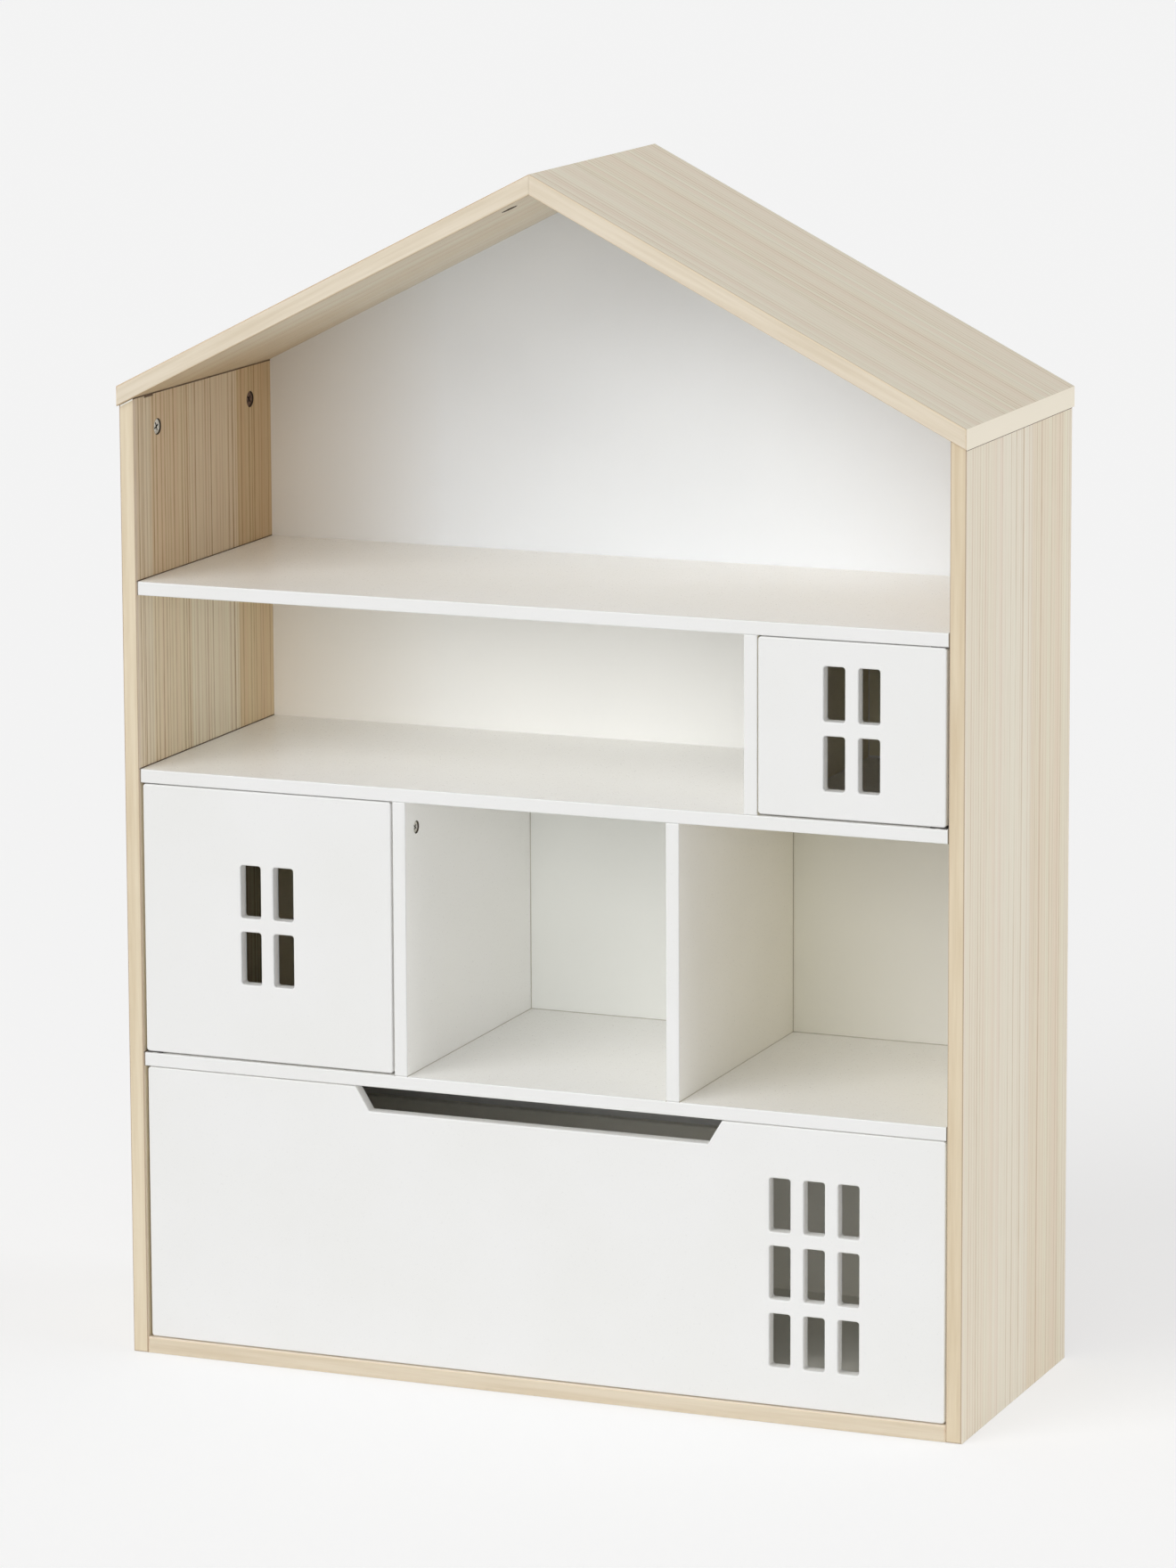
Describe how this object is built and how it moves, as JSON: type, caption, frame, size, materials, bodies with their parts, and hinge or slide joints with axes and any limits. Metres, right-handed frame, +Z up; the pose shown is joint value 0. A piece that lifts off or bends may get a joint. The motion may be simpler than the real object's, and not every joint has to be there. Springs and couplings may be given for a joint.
{
  "type": "house-shaped kids cabinet",
  "caption": "House-shaped cabinet with a pitched roof, shelves, open cubbies, small doors with window cut-outs and a wide toy drawer on roller runners.",
  "frame": {"origin": "on the floor, in the middle of the footprint", "axes": "+X to the right seen from the front, -Y to the front, +Z up"},
  "size_m": [0.964, 0.36, 1.3169],
  "materials": {
    "pine": "whitewashed pine, matt lacquer",
    "white_paint": "white satin paint on board",
    "white_board": "white matt faced thin board",
    "zinc": "cast zinc, satin",
    "dark_steel": "dark zinc plated steel",
    "nylon": "white nylon, matt",
    "white_steel": "white powder coat"
  },
  "bodies": {
    "cabinet": {"left_side_panel": "pine", "right_side_panel": "pine", "bottom_panel": "pine", "left_roof_panel": "pine", "right_roof_panel": "pine", "back_panel": "white_board", "upper_shelf": "white_paint", "middle_shelf": "white_paint", "lower_shelf": "white_paint", "upper_divider": "white_paint", "lower_left_divider": "white_paint", "lower_right_divider": "white_paint", "left_side_front_cam": "zinc", "left_side_rear_cam": "zinc", "right_side_front_cam": "zinc", "right_side_rear_cam": "zinc", "left_divider_front_cam": "zinc", "left_divider_rear_cam": "zinc", "right_divider_front_cam": "zinc", "right_divider_rear_cam": "zinc", "upper_divider_front_cam": "zinc", "upper_divider_rear_cam": "zinc", "ridge_front_cam": "zinc", "ridge_rear_cam": "zinc", "left_door_upper_bush": "nylon", "left_door_lower_bush": "nylon", "right_door_upper_bush": "nylon", "right_door_lower_bush": "nylon", "left_door_magnet_catch": "nylon", "right_door_magnet_catch": "nylon", "left_cabinet_runner": "white_steel", "right_cabinet_runner": "white_steel"},
    "left_door": {"left_door": "white_paint", "left_door_upper_pivot": "dark_steel", "left_door_lower_pivot": "dark_steel", "left_door_strike_plate": "dark_steel"},
    "right_door": {"right_door": "white_paint", "right_door_upper_pivot": "dark_steel", "right_door_lower_pivot": "dark_steel", "right_door_strike_plate": "dark_steel"},
    "drawer": {"drawer_front": "white_paint", "drawer_left_side": "white_paint", "drawer_right_side": "white_paint", "drawer_back": "white_paint", "drawer_floor": "white_board", "left_drawer_runner": "white_steel", "right_drawer_runner": "white_steel"},
    "left_front_roller": {"left_front_roller": "nylon"},
    "left_rear_roller": {"left_rear_roller": "nylon"},
    "right_front_roller": {"right_front_roller": "nylon"},
    "right_rear_roller": {"right_rear_roller": "nylon"}
  },
  "joints": [
    {"name": "left_door_hinge", "type": "hinge", "parent": "cabinet", "child": "left_door", "pos_m": [-0.451, -0.1665, 0.489], "axis": [0, 0, -1], "range_deg": [0, 110]},
    {"name": "right_door_hinge", "type": "hinge", "parent": "cabinet", "child": "right_door", "pos_m": [0.451, -0.1665, 0.7495], "axis": [0, 0, 1], "range_deg": [0, 110]},
    {"name": "drawer_slide", "type": "slide", "parent": "cabinet", "child": "drawer", "axis": [0, -1, 0], "range_m": [0, 0.25]},
    {"name": "left_front_roller_spin", "type": "hinge", "parent": "cabinet", "child": "left_front_roller", "pos_m": [-0.4577, -0.143, 0.0416], "axis": [1, 0, 0], "continuous": true},
    {"name": "right_front_roller_spin", "type": "hinge", "parent": "cabinet", "child": "right_front_roller", "pos_m": [0.4577, -0.143, 0.0416], "axis": [1, 0, 0], "continuous": true},
    {"name": "left_rear_roller_spin", "type": "hinge", "parent": "drawer", "child": "left_rear_roller", "pos_m": [-0.4558, 0.139, 0.0413], "axis": [1, 0, 0], "continuous": true},
    {"name": "right_rear_roller_spin", "type": "hinge", "parent": "drawer", "child": "right_rear_roller", "pos_m": [0.4558, 0.139, 0.0413], "axis": [1, 0, 0], "continuous": true}
  ],
  "couplings": [
    {"joint": "left_front_roller_spin", "follows": "drawer_slide", "rad_per_m": 100},
    {"joint": "left_rear_roller_spin", "follows": "drawer_slide", "rad_per_m": 100},
    {"joint": "right_front_roller_spin", "follows": "drawer_slide", "rad_per_m": 100},
    {"joint": "right_rear_roller_spin", "follows": "drawer_slide", "rad_per_m": 100}
  ]
}
